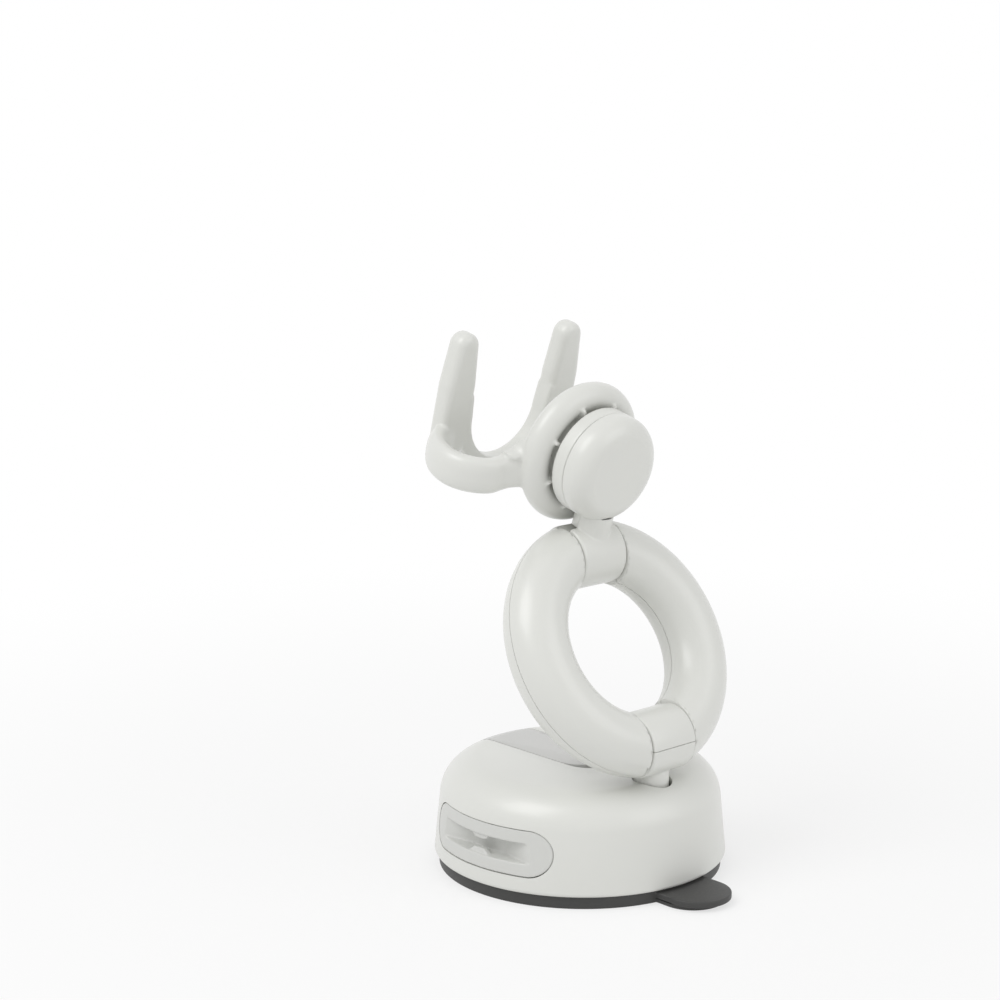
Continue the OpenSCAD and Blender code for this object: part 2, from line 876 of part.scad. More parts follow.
// An arm leaves the ring at a slant, straightens, curls forward and comes back in
module fork_arm() {
    turn = 5;
    root = [arm_curl_u, arm_root_w - root_bend_r];
    root_end = root + root_bend_r * [-sin(root_slant), cos(root_slant)];
    root_l = (root_end[0] - root_start) / cos(root_slant);
    first = [arm_curl_u, arm_root_w + arm_bend_r];
    second = first + (arm_bend_r - arm_return_r) * [cos(turn), sin(turn)];
    meet = asin((prong_back - second[1]) / arm_return_r);
    translate([root_end[0], -arm_drop, root_end[1]]) rotate([0, -90 - root_slant, 0])
        linear_extrude(root_l) arm_section();
    arm_bend(root, root_bend_r, 90, 90 + root_slant);
    arm_bend(first, arm_bend_r, -90, turn);
    arm_bend(second, arm_return_r, turn, meet);
}

// A prong narrows over prong_taper from its full width to a round tip
module prong_outline() {
    wide_r = prong_w / 2;
    shoulder = prong_top - prong_taper;
    tip = prong_top - prong_tip_r;
    lean = atan2(wide_r - prong_tip_r, prong_taper - prong_tip_r);
    tip_x = (prong_tip_r - tuck) * cos(lean);
    tip_y = tip + (prong_tip_r - tuck) * sin(lean);
    translate([prong_gap + wide_r, 0]) {
        translate([-wide_r, -arm_drop]) square([prong_w, shoulder + arm_drop]);
        translate([0, -arm_drop]) circle(wide_r);
        translate([0, tip]) circle(prong_tip_r);
        polygon([[-wide_r, shoulder], [wide_r, shoulder], [tip_x, tip_y], [-tip_x, tip_y]]);
    }
}

module fork() {
    color([0.87, 0.87, 0.85]) at_head() difference() {
        union() {
            rotate_extrude() translate([fork_ring_r, fork_ring_w]) circle(fork_section_r);
            translate([0, 0, fork_ring_w - fork_web_t / 2]) cylinder(r = fork_ring_r, h = fork_web_t);
            translate([0, 0, hub_front]) cylinder(r = hub_r, h = hub_back - hub_front);
            for (i = [0 : fork_ribs - 1]) rotate([0, 0, 360 * (i + 0.5) / fork_ribs])
                translate([hub_r - 1, -fork_rib_w / 2, hub_front])
                    cube([fork_ring_r - hub_r - 0.4, fork_rib_w, fork_ring_w - hub_front]);
            for (side = [0, 1]) mirror([side, 0, 0]) fork_arm();
            translate([0, 0, prong_back - prong_t / 2]) linear_extrude(prong_t) {
                for (side = [0, 1]) mirror([side, 0]) prong_outline();
                difference() {
                    circle(seat_r + seat_wall);
                    circle(seat_r);
                    translate([-far / 2, 0]) square(far);
                }
            }
        }
        cylinder(r = journal_r + run_gap, h = hub_back + 1);
        translate([0, 0, hub_seat]) cylinder(r = hub_bore_r, h = hub_back);
    }
}

module hub_cover() {
    color([0.84, 0.84, 0.82]) at_head()
        translate([0, 0, hub_back - hub_cover_t]) cylinder(r = hub_bore_r - seat_gap, h = hub_cover_t);
}

suction_pad();
base_plate();
base_shell();
cable_clip();
shell_screws();
stem_yoke();
stem_cap();
stem_screws();
release_spring();
pull_stud();
lever_pin();
suction_lever();
ring_left_front();
ring_left_back();
ring_right_front();
ring_right_back();
ring_screws();
lower_hinge_pin();
upper_hinge_pin();
lower_wave_washers();
upper_wave_washers();
head_collar();
head_cap();
neck_cover();
spindle_screw();
spindle_washer();
spindle_nut();
fork();
hub_cover();
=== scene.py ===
# Dashboard phone mount: a lever suction base, a ring arm hinged at both ends, and a round
# head with a two-pronged fork that spins on it. Pieces are modelled in millimetres in the
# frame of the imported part, and settle() brings each one to metres.
import math

import bmesh
import bpy
from mathutils import Matrix, Vector


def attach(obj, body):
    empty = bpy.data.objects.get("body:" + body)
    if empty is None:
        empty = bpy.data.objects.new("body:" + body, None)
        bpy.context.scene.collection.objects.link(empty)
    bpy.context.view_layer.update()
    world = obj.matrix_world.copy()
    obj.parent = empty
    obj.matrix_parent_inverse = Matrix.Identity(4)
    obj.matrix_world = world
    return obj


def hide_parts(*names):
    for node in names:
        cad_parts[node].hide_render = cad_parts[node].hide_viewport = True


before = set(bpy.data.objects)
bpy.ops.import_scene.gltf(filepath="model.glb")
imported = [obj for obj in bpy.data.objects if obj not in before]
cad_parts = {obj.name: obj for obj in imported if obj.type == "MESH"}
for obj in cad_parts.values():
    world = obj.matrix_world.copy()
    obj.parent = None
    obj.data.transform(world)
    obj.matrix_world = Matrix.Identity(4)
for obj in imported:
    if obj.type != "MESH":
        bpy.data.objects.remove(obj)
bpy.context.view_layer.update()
bpy.ops.object.select_all(action="DESELECT")

# Camera: it looks at the mount from behind and from its right side, a little from above.
# Its place and lens were solved from the outlines of the base, the ring and the head.
view_turn = math.radians(137.405)
view_rise = math.radians(11.133)
view_lens = 83.41
view_spot = Vector((0.35191, 0.35607, 0.18131))
bpy.ops.object.camera_add()
camera = bpy.context.object
camera.name = "view_camera"
camera.data.lens = view_lens
camera.data.sensor_width = 36
side = Vector((math.cos(view_turn), math.sin(view_turn), 0))
ahead = Vector((-math.sin(view_turn) * math.cos(view_rise),
                math.cos(view_turn) * math.cos(view_rise), -math.sin(view_rise)))
above = side.cross(ahead)
turn = Matrix((side, above, -ahead)).transposed().to_4x4()
camera.matrix_world = Matrix.Translation(view_spot) @ turn
bpy.context.scene.camera = camera
bpy.context.scene.view_settings.view_transform = "Standard"

# Floor: a plain white studio floor. For the camera and for reflections it is nearly
# white by itself, and near the mount the rest of it is shaded, which keeps the shadow.
bpy.ops.mesh.primitive_plane_add(size=8)
floor = bpy.context.object
floor.name = "studio_floor"
floor_paint = bpy.data.materials.new("studio white")
floor_paint.use_nodes = True
nodes, links = floor_paint.node_tree.nodes, floor_paint.node_tree.links
nodes.clear()
output = nodes.new("ShaderNodeOutputMaterial")
blend = nodes.new("ShaderNodeMixShader")
matt = nodes.new("ShaderNodeBsdfDiffuse")
matt.inputs["Color"].default_value = (0.92, 0.92, 0.92, 1)
glow = nodes.new("ShaderNodeEmission")
glow.inputs["Color"].default_value = (1, 1, 1, 1)
path = nodes.new("ShaderNodeLightPath")
seen = nodes.new("ShaderNodeMath")
seen.operation = "MAXIMUM"
share = nodes.new("ShaderNodeMath")
share.operation = "MULTIPLY"
place = nodes.new("ShaderNodeTexCoord")
reach = nodes.new("ShaderNodeVectorMath")
reach.operation = "LENGTH"
fade = nodes.new("ShaderNodeMapRange")
fade.interpolation_type = "SMOOTHSTEP"
fade.inputs["From Min"].default_value = 0.06
fade.inputs["From Max"].default_value = 0.32
fade.inputs["To Min"].default_value = 0.66
fade.inputs["To Max"].default_value = 1
links.new(place.outputs["Object"], reach.inputs[0])
links.new(reach.outputs["Value"], fade.inputs["Value"])
links.new(fade.outputs["Result"], share.inputs[1])
links.new(path.outputs["Is Camera Ray"], seen.inputs[0])
links.new(path.outputs["Is Glossy Ray"], seen.inputs[1])
links.new(seen.outputs[0], share.inputs[0])
links.new(share.outputs[0], blend.inputs["Fac"])
links.new(matt.outputs[0], blend.inputs[1])
links.new(glow.outputs[0], blend.inputs[2])
links.new(blend.outputs[0], output.inputs["Surface"])
floor.data.materials.append(floor_paint)

# Light: a white room, one large soft lamp high on the left of the view, and a weak one
# on the right. The room shows white behind the mount and in its reflections.
room = bpy.data.worlds.new("white room")
bpy.context.scene.world = room
room.use_nodes = True
nodes, links = room.node_tree.nodes, room.node_tree.links
nodes.clear()
output = nodes.new("ShaderNodeOutputWorld")
dim = nodes.new("ShaderNodeBackground")
dim.inputs["Color"].default_value = (1, 1, 1, 1)
dim.inputs["Strength"].default_value = 0.62
white = nodes.new("ShaderNodeBackground")
white.inputs["Color"].default_value = (1, 1, 1, 1)
blend = nodes.new("ShaderNodeMixShader")
path = nodes.new("ShaderNodeLightPath")
seen = nodes.new("ShaderNodeMath")
seen.operation = "MAXIMUM"
clear = nodes.new("ShaderNodeMath")
clear.operation = "MAXIMUM"
links.new(path.outputs["Is Camera Ray"], seen.inputs[0])
links.new(path.outputs["Is Glossy Ray"], seen.inputs[1])
links.new(seen.outputs[0], clear.inputs[0])
links.new(path.outputs["Is Transmission Ray"], clear.inputs[1])
links.new(clear.outputs[0], blend.inputs["Fac"])
links.new(dim.outputs[0], blend.inputs[1])
links.new(white.outputs[0], blend.inputs[2])
links.new(blend.outputs[0], output.inputs["Surface"])


def soft_lamp(name, place, size, power):
    """A square lamp that shines at the middle of the mount."""
    bpy.ops.object.light_add(type="AREA", location=place)
    lamp = bpy.context.object
    lamp.name = name
    lamp.data.size = size
    lamp.data.energy = power
    aim = Vector((0, 0, 0.06)) - Vector(place)
    lamp.rotation_euler = aim.to_track_quat("-Z", "Y").to_euler()


soft_lamp("key_lamp", (0.75, -0.15, 0.95), 0.7, 5)
soft_lamp("fill_lamp", (-0.35, 0.95, 0.55), 0.8, 2.2)

# Suction pad: one moulding in soft dark rubber, a flat disc whose tab is pulled to let the
# air in. It is made and used upside down, so its edges are soft and its skin is dull.
MM = 0.001
pad_r = 31.8
pad_h = 2.8
pad_floor = 0.9
tab_w = 15
tab_reach = 43.5
tab_step = 1
tab_top = 2.4
step_reach = 41.7
stud_room_r = 8.6


def take(piece):
    bpy.ops.object.select_all(action="DESELECT")
    piece.select_set(True)
    bpy.context.view_layer.objects.active = piece


def pick(piece, kind, test):
    """Opens a piece for editing with only the verts, edges or faces selected that pass."""
    take(piece)
    bpy.ops.object.mode_set(mode="EDIT")
    bpy.ops.mesh.select_mode(type=kind)
    bpy.ops.mesh.select_all(action="DESELECT")
    mesh = bmesh.from_edit_mesh(piece.data)
    parts = {"VERT": mesh.verts, "EDGE": mesh.edges, "FACE": mesh.faces}[kind]
    for part in parts:
        if test(part):
            part.select_set(True)
    if kind == "VERT":
        mesh.select_flush(True)
    bmesh.update_edit_mesh(piece.data)


def close():
    bpy.ops.object.mode_set(mode="OBJECT")


def finish_with(piece, kind, **settings):
    take(piece)
    step = piece.modifiers.new(kind.lower(), kind)
    for name, value in settings.items():
        setattr(step, name, value)
    bpy.ops.object.modifier_apply(modifier=step.name)


def combine(piece, tool, how):
    """Joins, cuts or trims a piece with a tool shape, which is then thrown away."""
    finish_with(piece, "BOOLEAN", operation=how, object=tool, solver="EXACT")
    bpy.data.objects.remove(tool)


def rod(name, r, length, middle, along=(0, 0, 1), sides=96):
    turn = Vector((0, 0, 1)).rotation_difference(Vector(along)).to_euler()
    bpy.ops.mesh.primitive_cylinder_add(
        vertices=sides, radius=r, depth=length, location=middle, rotation=turn)
    piece = bpy.context.object
    piece.name = name
    bpy.ops.object.transform_apply(location=True, rotation=True, scale=True)
    return piece


def block(name, low, high):
    middle = [(a + b) / 2 for a, b in zip(low, high)]
    bpy.ops.mesh.primitive_cube_add(size=1, location=middle)
    piece = bpy.context.object
    piece.name = name
    piece.scale = [b - a for a, b in zip(low, high)]
    bpy.ops.object.transform_apply(location=True, rotation=True, scale=True)
    return piece


def tongue(name, w, tail, tip, low, high):
    """A flat bar of width w along Y, square at its tail and fully round at its tip."""
    piece = block(name, (-w / 2, min(tail, tip), low), (w / 2, max(tail, tip), high))
    pick(piece, "EDGE", lambda edge: all(
        abs(v.co.y - tip) < 0.001 for v in edge.verts)
        and abs(edge.verts[0].co.x - edge.verts[1].co.x) < 0.001)
    bpy.ops.mesh.bevel(offset=w / 2 - 0.01, segments=32, affect="EDGES")
    close()
    return piece


def round_edges(piece, radius, steps=2, angle=38, where=None):
    """Rounds a piece's sharp edges, or only those whose middle is in the right place."""
    sharp = math.radians(angle)
    pick(piece, "EDGE", lambda edge: len(edge.link_faces) == 2
         and edge.calc_face_angle(0) > sharp
         and (where is None or where((edge.verts[0].co + edge.verts[1].co) / 2)))
    bpy.ops.mesh.bevel(offset=radius, segments=steps, affect="EDGES", clamp_overlap=False)
    close()


def weld_points(piece, reach):
    pick(piece, "VERT", lambda vert: True)
    bpy.ops.mesh.remove_doubles(threshold=reach)
    bpy.ops.mesh.delete_loose()
    close()


def settle(piece, body, slot, *replaced):
    """Brings a finished piece from millimetres to metres, smooths its shading, hides the CAD nodes
    that it replaces and hangs it on its body.
    """
    take(piece)
    piece.scale = (MM, MM, MM)
    bpy.ops.object.transform_apply(location=True, rotation=True, scale=True)
    bpy.ops.object.shade_smooth_by_angle(angle=math.radians(38))
    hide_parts(*replaced)
    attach(piece, body)


def skin_group():
    """Clouds of tone, fine grain and gloss that a moulded surface has."""
    tree = bpy.data.node_groups.new("moulded skin", "ShaderNodeTree")
    faces = tree.interface
    for name, kind in (("Tone", "NodeSocketColor"), ("Cloud Tone", "NodeSocketColor"),
                       ("Cloud Scale", "NodeSocketFloat"), ("Grain Scale", "NodeSocketFloat"),
                       ("Gloss Low", "NodeSocketFloat"), ("Gloss High", "NodeSocketFloat")):
        faces.new_socket(name, in_out="INPUT", socket_type=kind)
    for name, kind in (("Color", "NodeSocketColor"), ("Roughness", "NodeSocketFloat"),
                       ("Height", "NodeSocketFloat")):
        faces.new_socket(name, in_out="OUTPUT", socket_type=kind)
    nodes, links = tree.nodes, tree.links
    given = nodes.new("NodeGroupInput")
    made = nodes.new("NodeGroupOutput")
    where = nodes.new("ShaderNodeTexCoord")
    clouds = nodes.new("ShaderNodeTexNoise")
    clouds.inputs["Detail"].default_value = 3
    grain = nodes.new("ShaderNodeTexNoise")
    grain.inputs["Detail"].default_value = 2
    tint = nodes.new("ShaderNodeMix")
    tint.data_type = "RGBA"
    gloss = nodes.new("ShaderNodeMapRange")
    links.new(where.outputs["Object"], clouds.inputs["Vector"])
    links.new(where.outputs["Object"], grain.inputs["Vector"])
    links.new(given.outputs["Cloud Scale"], clouds.inputs["Scale"])
    links.new(given.outputs["Grain Scale"], grain.inputs["Scale"])
    links.new(clouds.outputs["Fac"], tint.inputs["Factor"])
    links.new(given.outputs["Tone"], tint.inputs["A"])
    links.new(given.outputs["Cloud Tone"], tint.inputs["B"])
    links.new(tint.outputs["Result"], made.inputs["Color"])
    gloss.inputs["From Min"].default_value = 0.3
    gloss.inputs["From Max"].default_value = 0.7
    links.new(grain.outputs["Fac"], gloss.inputs["Value"])
    links.new(given.outputs["Gloss Low"], gloss.inputs["To Min"])
    links.new(given.outputs["Gloss High"], gloss.inputs["To Max"])
    links.new(gloss.outputs["Result"], made.inputs["Roughness"])
    links.new(grain.outputs["Fac"], made.inputs["Height"])
    return tree


moulded_skin = skin_group()


def moulded(name, tone, cloud_tone, gloss, shine=0, cloud=60, grain=2600, bump=0.06):
    """A moulded plastic or rubber. Tones are linear colours, and gloss is a range."""
    paint = bpy.data.materials.new(name)
    paint.use_nodes = True
    nodes, links = paint.node_tree.nodes, paint.node_tree.links
    shader = nodes["Principled BSDF"]
    skin = nodes.new("ShaderNodeGroup")
    skin.node_tree = moulded_skin
    skin.inputs["Tone"].default_value = (*tone, 1)
    skin.inputs["Cloud Tone"].default_value = (*cloud_tone, 1)
    skin.inputs["Cloud Scale"].default_value = cloud
    skin.inputs["Grain Scale"].default_value = grain
    skin.inputs["Gloss Low"].default_value = gloss[0]
    skin.inputs["Gloss High"].default_value = gloss[1]
    relief = nodes.new("ShaderNodeBump")
    relief.inputs["Strength"].default_value = bump
    relief.inputs["Distance"].default_value = 0.0001
    links.new(skin.outputs["Color"], shader.inputs["Base Color"])
    links.new(skin.outputs["Roughness"], shader.inputs["Roughness"])
    links.new(skin.outputs["Height"], relief.inputs["Height"])
    links.new(relief.outputs["Normal"], shader.inputs["Normal"])
    shader.inputs["IOR"].default_value = 1.5
    shader.inputs["Coat Weight"].default_value = shine
    shader.inputs["Coat Roughness"].default_value = 0.24
    return paint


def coat(piece, paint):
    """Puts a material on a new piece, or in place of every one that a CAD node has."""
    if not piece.material_slots:
        piece.data.materials.append(paint)
    for held in piece.material_slots:
        held.material = paint


rubber = moulded("dark rubber", (0.044, 0.044, 0.043), (0.052, 0.052, 0.050), (0.45, 0.55),
                 cloud=90, grain=3200, bump=0.1)
pad = rod("rubber_pad", pad_r, pad_h, (0, 0, pad_h / 2), sides=192)
tab = tongue("tab", tab_w, 0, tab_reach, tab_step, tab_top)
combine(pad, tab, "UNION")
step = tongue("step", tab_w - 0.4, 0, step_reach, 0, tab_step + 0.2)
combine(pad, step, "UNION")
combine(pad, rod("stud_room", stud_room_r, pad_h, (0, 0, pad_floor + pad_h / 2)), "DIFFERENCE")
weld_points(pad, 0.02)
round_edges(pad, 0.28, 3)
coat(pad, rubber)
settle(pad, "base", "pad", "suction_pad")

# Base plate, stud, spring and fasteners: a plain plastic plate and zinc-plated steel, all
# inside the base and the arm. The CAD solids have their shapes, so they only get a finish.
plate_top = 4.8
inner_plastic = moulded("inner plastic", (0.60, 0.60, 0.58), (0.56, 0.56, 0.54), (0.5, 0.6))
steel = bpy.data.materials.new("plated steel")
steel.use_nodes = True
nodes, links = steel.node_tree.nodes, steel.node_tree.links
shader = nodes["Principled BSDF"]
shader.inputs["Metallic"].default_value = 1
skin = nodes.new("ShaderNodeGroup")
skin.node_tree = moulded_skin
skin.inputs["Tone"].default_value = (0.60, 0.60, 0.61, 1)
skin.inputs["Cloud Tone"].default_value = (0.50, 0.50, 0.51, 1)
skin.inputs["Cloud Scale"].default_value = 300
skin.inputs["Grain Scale"].default_value = 5200
skin.inputs["Gloss Low"].default_value = 0.26
skin.inputs["Gloss High"].default_value = 0.38
links.new(skin.outputs["Color"], shader.inputs["Base Color"])
links.new(skin.outputs["Roughness"], shader.inputs["Roughness"])
coat(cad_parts["base_plate"], inner_plastic)
for name in ("shell_screws", "stem_screws", "release_spring", "pull_stud", "lever_pin",
             "ring_screws", "lower_hinge_pin", "upper_hinge_pin", "lower_wave_washers",
             "upper_wave_washers", "spindle_screw", "spindle_washer", "spindle_nut"):
    coat(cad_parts[name], steel)

# Base shell: a squat dome moulded in satin off-white plastic, 2 mm thick. It has a flush
# tray for the lever, a slot for the stem, a pocket for the cable clip and four screw bosses.
shell_r = 33.2
shell_top = 24.2
shoulder_r = 8.5
flat_r = 23.1
shell_wall = 2
lever_w = 12.7
lever_gap = 0.25
tray_floor = 19.1
tray_wall = 1.7
tray_tail = 3.1
well_reach = 8.3
scoop_r = 4.5
stem_y = 22
slot_r = 4.15
slot_shift = 0.6
clip_turn = Matrix.Rotation(math.radians(1.5), 4, "Z")
clip_l = 35.68
clip_z = 6.4
clip_h = 10.2
clip_back_r = 27.2
screw_circle_r = 23
screw_boss_r = 3
pilot_r = 1.28
pilot_l = 8
boss_top = shell_top - 1
pocket_wall = 1.5
skin_inset = 1
far = 60

white_plastic = moulded("satin white plastic", (0.745, 0.75, 0.715), (0.725, 0.73, 0.695),
                        (0.32, 0.4), 0.4)


def dome_line(inset, low, steps=24):
    """Half section of the dome from its top to the height low, drawn in by inset."""
    r = shoulder_r - inset
    middle = Vector((flat_r, shell_top - shoulder_r))
    foot = Vector((shell_r - inset, 0))
    reach = middle - foot
    lean = math.atan2(reach.y, reach.x) - math.asin(r / reach.length)
    down = Vector((math.cos(lean), math.sin(lean)))
    first = math.pi / 2
    last = lean - math.pi / 2
    line = [(0, middle.y + r)]
    for i in range(steps + 1):
        a = first + (last - first) * i / steps
        line.append((middle.x + r * math.cos(a), middle.y + r * math.sin(a)))
    line.append((foot.x + low / down.y * down.x, low))
    return line


def turned(name, outline, steps=192):
    """A body of revolution about Z from a closed outline of radius and height."""
    bpy.ops.mesh.primitive_circle_add(vertices=len(outline), fill_type="NOTHING")
    piece = bpy.context.object
    piece.name = name
    for corner, (r, z) in zip(piece.data.vertices, outline):
        corner.co = (r, 0, z)
    pick(piece, "VERT", lambda vert: True)
    bpy.ops.mesh.spin(steps=steps, angle=math.tau, center=(0, 0, 0), axis=(0, 0, 1))
    bpy.ops.mesh.select_all(action="SELECT")
    bpy.ops.mesh.remove_doubles(threshold=0.0005)
    bpy.ops.mesh.delete_loose()
    bpy.ops.mesh.select_all(action="SELECT")
    bpy.ops.mesh.normals_make_consistent(inside=False)
    close()
    return piece


def stand(piece, spot):
    """Turns and moves a piece to its place, which goes into its mesh."""
    take(piece)
    piece.matrix_world = spot
    bpy.ops.object.transform_apply(location=True, rotation=True, scale=True)
    return piece


def dome_solid(name, inset, low=0):
    return turned(name, dome_line(inset, low) + [(0, low)])


def pill_block(name, grow):
    """The clip's rounded outline, run outwards through the shell's side."""
    l, h = clip_l + 2 * grow, clip_h + 2 * grow
    piece = block(name, (0, -l / 2, clip_z - grow), (far, l / 2, clip_z + clip_h + grow))
    pick(piece, "EDGE", lambda edge: abs(edge.verts[0].co.x - edge.verts[1].co.x) > 1)
    bpy.ops.mesh.bevel(offset=h / 2 - 0.01, segments=24, affect="EDGES")
    close()
    return stand(piece, clip_turn)


outer = dome_line(0, pad_h)
inner = dome_line(shell_wall, pad_h)
shell = turned("dome_shell", outer + inner[::-1])
round_edges(shell, 0.9, 5, where=lambda at: math.hypot(at.x, at.y) > shell_r - 1)

tray = tongue("tray", lever_w + 2 * (lever_gap + tray_wall), -far,
              tray_tail + lever_w / 2 + lever_gap + tray_wall, tray_floor - tray_wall, far)
combine(tray, dome_solid("tray_skin", skin_inset), "INTERSECT")
combine(shell, tray, "UNION")
pocket = pill_block("pocket", pocket_wall)
combine(pocket, dome_solid("pocket_skin", skin_inset), "INTERSECT")
combine(pocket, rod("pocket_back", clip_back_r - pocket_wall, far, (0, 0, 0)), "DIFFERENCE")
combine(shell, pocket, "UNION")
for quarter in (45, 135, 225, 315):
    a = math.radians(quarter)
    x, y = screw_circle_r * math.cos(a), screw_circle_r * math.sin(a)
    combine(shell, rod("boss", screw_boss_r, boss_top - plate_top, (x, y, (boss_top + plate_top) / 2)),
            "UNION")
    combine(shell, rod("pilot", pilot_r, pilot_l, (x, y, plate_top + 3)), "DIFFERENCE")

recess_w = lever_w + 2 * lever_gap
recess_tail = tray_tail + recess_w / 2
combine(shell, tongue("recess", recess_w, -far, recess_tail, tray_floor, far), "DIFFERENCE")
combine(shell, tongue("well", recess_w, -well_reach, recess_tail - 0.002, 0, far), "DIFFERENCE")
combine(shell, rod("scoop", scoop_r, recess_w, (0, -shell_r - scoop_r / 4, tray_floor),
                   (1, 0, 0)), "DIFFERENCE")
slot = rod("slot", slot_r, far, (0, stem_y, plate_top + far / 2))
combine(slot, rod("slot_end", slot_r, far, (0, stem_y + slot_shift, plate_top + far / 2)),
        "UNION")
combine(shell, slot, "DIFFERENCE")
seat = pill_block("seat", 0.06)
combine(seat, rod("seat_floor", clip_back_r - 0.03, far, (0, 0, 0), sides=192), "DIFFERENCE")
combine(shell, seat, "DIFFERENCE")
weld_points(shell, 0.03)
round_edges(shell, 0.12, 2, where=lambda at: at.z > tray_floor - 1)
coat(shell, white_plastic)
settle(shell, "base", "white", "base_shell")

# Cable clip: a pale grey insert in a softer plastic, pressed into the pocket in the shell's
# side. Two soft bumps stand in the middle of its slot, which runs out towards both ends.
slot_low = 9.35
slot_high = 13.65
slot_floor_r = 28.6
slot_half_arc = 10.2
slot_run = 14
slot_splay = math.radians(8)
tooth_h = 1.1
tooth_back_x = 30.4
tooth_half = 1.5
tooth_slope = 1.9
clip_plastic = moulded("soft clip plastic", (0.66, 0.665, 0.64), (0.64, 0.645, 0.62),
                       (0.42, 0.5), 0.1)


def slab(name, corners, low, high):
    """A plate between two heights, from its outline in the X-Y plane."""
    bpy.ops.mesh.primitive_circle_add(vertices=len(corners), fill_type="NGON")
    piece = bpy.context.object
    piece.name = name
    for corner, (x, y) in zip(piece.data.vertices, corners):
        corner.co = (x, y, low)
    pick(piece, "FACE", lambda face: True)
    bpy.ops.mesh.extrude_region_move(
        TRANSFORM_OT_translate={"value": (0, 0, high - low)})
    bpy.ops.mesh.select_all(action="SELECT")
    bpy.ops.mesh.normals_make_consistent(inside=False)
    close()
    return piece


def arc(middle, r, first, last, steps):
    """Points on a round arc, with its angles in degrees."""
    points = []
    for i in range(steps + 1):
        a = math.radians(first + (last - first) * i / steps)
        points.append((middle[0] + r * math.cos(a), middle[1] + r * math.sin(a)))
    return points


def melt(piece, grain, rounds):
    """One skin over joined shapes, with every corner as soft as the grain is coarse."""
    finish_with(piece, "REMESH", mode="VOXEL", voxel_size=grain, use_smooth_shade=True)
    if rounds:
        finish_with(piece, "SMOOTH", factor=0.5, iterations=rounds)


clip = pill_block("clip_insert", -0.14)
combine(clip, dome_solid("clip_skin", 0), "INTERSECT")
combine(clip, rod("clip_back", clip_back_r, far, (0, 0, 0), sides=192), "DIFFERENCE")
floor_line = arc((0, 0), slot_floor_r, -slot_half_arc, slot_half_arc, 24)
out_x = floor_line[-1][0] + slot_run * math.sin(slot_splay)
out_y = floor_line[-1][1] + slot_run * math.cos(slot_splay)
groove = slab("groove", [(out_x, -out_y)] + floor_line + [(out_x, out_y), (far, out_y),
                                                          (far, -out_y)], slot_low, slot_high)
combine(clip, stand(groove, clip_turn), "DIFFERENCE")
outwards = Matrix(((0, 0, 1, 0), (1, 0, 0, 0), (0, 1, 0, 0), (0, 0, 0, 1)))
for edge_z, rise in ((slot_low, tooth_h), (slot_high, -tooth_h)):
    sunk_z = edge_z - rise / 4
    bump = slab("tooth", [(-tooth_half - tooth_slope, sunk_z), (-tooth_half, edge_z + rise),
                          (tooth_half, edge_z + rise), (tooth_half + tooth_slope, sunk_z)],
                tooth_back_x, far)
    stand(bump, clip_turn @ outwards)
    combine(bump, dome_solid("tooth_skin", 0.6), "INTERSECT")
    combine(clip, bump, "UNION")
melt(clip, 0.2, 5)
coat(clip, clip_plastic)
settle(clip, "base", "clip", "cable_clip")

# Suction lever: a grey panel moulded in one with two cams under its hinged end. Closed, it
# lies flush in the dome's top and its free end follows the dome's shoulder.
lever_reach = 29.8
lever_floor = 20.6
lever_pin = Vector((0, 0, 18.5))
cam_r = 5.5
cam_offset = 2
cam_lead = math.radians(55)
cheek_inner = 2.6
eye_room_r = 3.7
pin_r = 1.3
lever_plastic = moulded("lever plastic", (0.56, 0.56, 0.545), (0.54, 0.54, 0.525),
                        (0.32, 0.4), 0.5)
lever = tongue("lever_panel", lever_w, -lever_reach, lever_w / 2, lever_floor, far)
combine(lever, dome_solid("lever_skin", 0), "INTERSECT")
cam_middle = lever_pin - cam_offset * Vector((0, math.sin(cam_lead), math.cos(cam_lead)))
combine(lever, rod("cams", cam_r, lever_w - 0.01, cam_middle, (1, 0, 0)), "UNION")
combine(lever, block("cheek_slot", (-cheek_inner, -far, 0), (cheek_inner, far, lever_floor)),
        "DIFFERENCE")
combine(lever, rod("pin_hole", pin_r + 0.06, lever_w - tray_wall, lever_pin, (1, 0, 0)),
        "DIFFERENCE")
combine(lever, rod("eye_room", eye_room_r, 2 * cheek_inner, lever_pin, (1, 0, 0)),
        "DIFFERENCE")
weld_points(lever, 0.03)
round_edges(lever, 0.14, 2)
coat(lever, lever_plastic)
settle(lever, "lever", "lever", "suction_lever")

# Stem and lower barrel: the stem stands on a screwed foot and comes up through the slot. Its
# barrel parts a little above the hinge's axis, and a moulded cap closes it over the pin.
hinge_z = 32.75
parting_z = 32.95
parting_gap = 0.16
stem_r = 3.9
foot_r = 7.2
foot_h = 5
barrel_r = 7.2
barrel_w = 12.7
axle_r = 2.06
washer_seat_r = 5.25
washer_seat = 0.5


def barrel(name, middle):
    """A hinge barrel along X with a softer rim on its clip side, bored for its axle."""
    piece = rod(name, barrel_r, barrel_w, middle, (1, 0, 0), 160)
    round_edges(piece, 0.6, 5, where=lambda at: at.x > 0)
    round_edges(piece, 0.3, 3, where=lambda at: at.x < 0)
    combine(piece, rod("bore", axle_r, far, middle, (1, 0, 0)), "DIFFERENCE")
    for sign in (-1, 1):
        seat_middle = Vector(middle) + Vector((sign * (barrel_w / 2 + 5 - washer_seat), 0, 0))
        combine(piece, rod("washer_seat", washer_seat_r, 10, seat_middle, (1, 0, 0)),
                "DIFFERENCE")
    return piece


def split(piece, height, keep_upper):
    """Cuts a piece flat at a height and closes the cut."""
    pick(piece, "FACE", lambda face: True)
    bpy.ops.mesh.bisect(plane_co=(0, 0, height), plane_no=(0, 0, 1), use_fill=True,
                        clear_inner=keep_upper, clear_outer=not keep_upper)
    close()


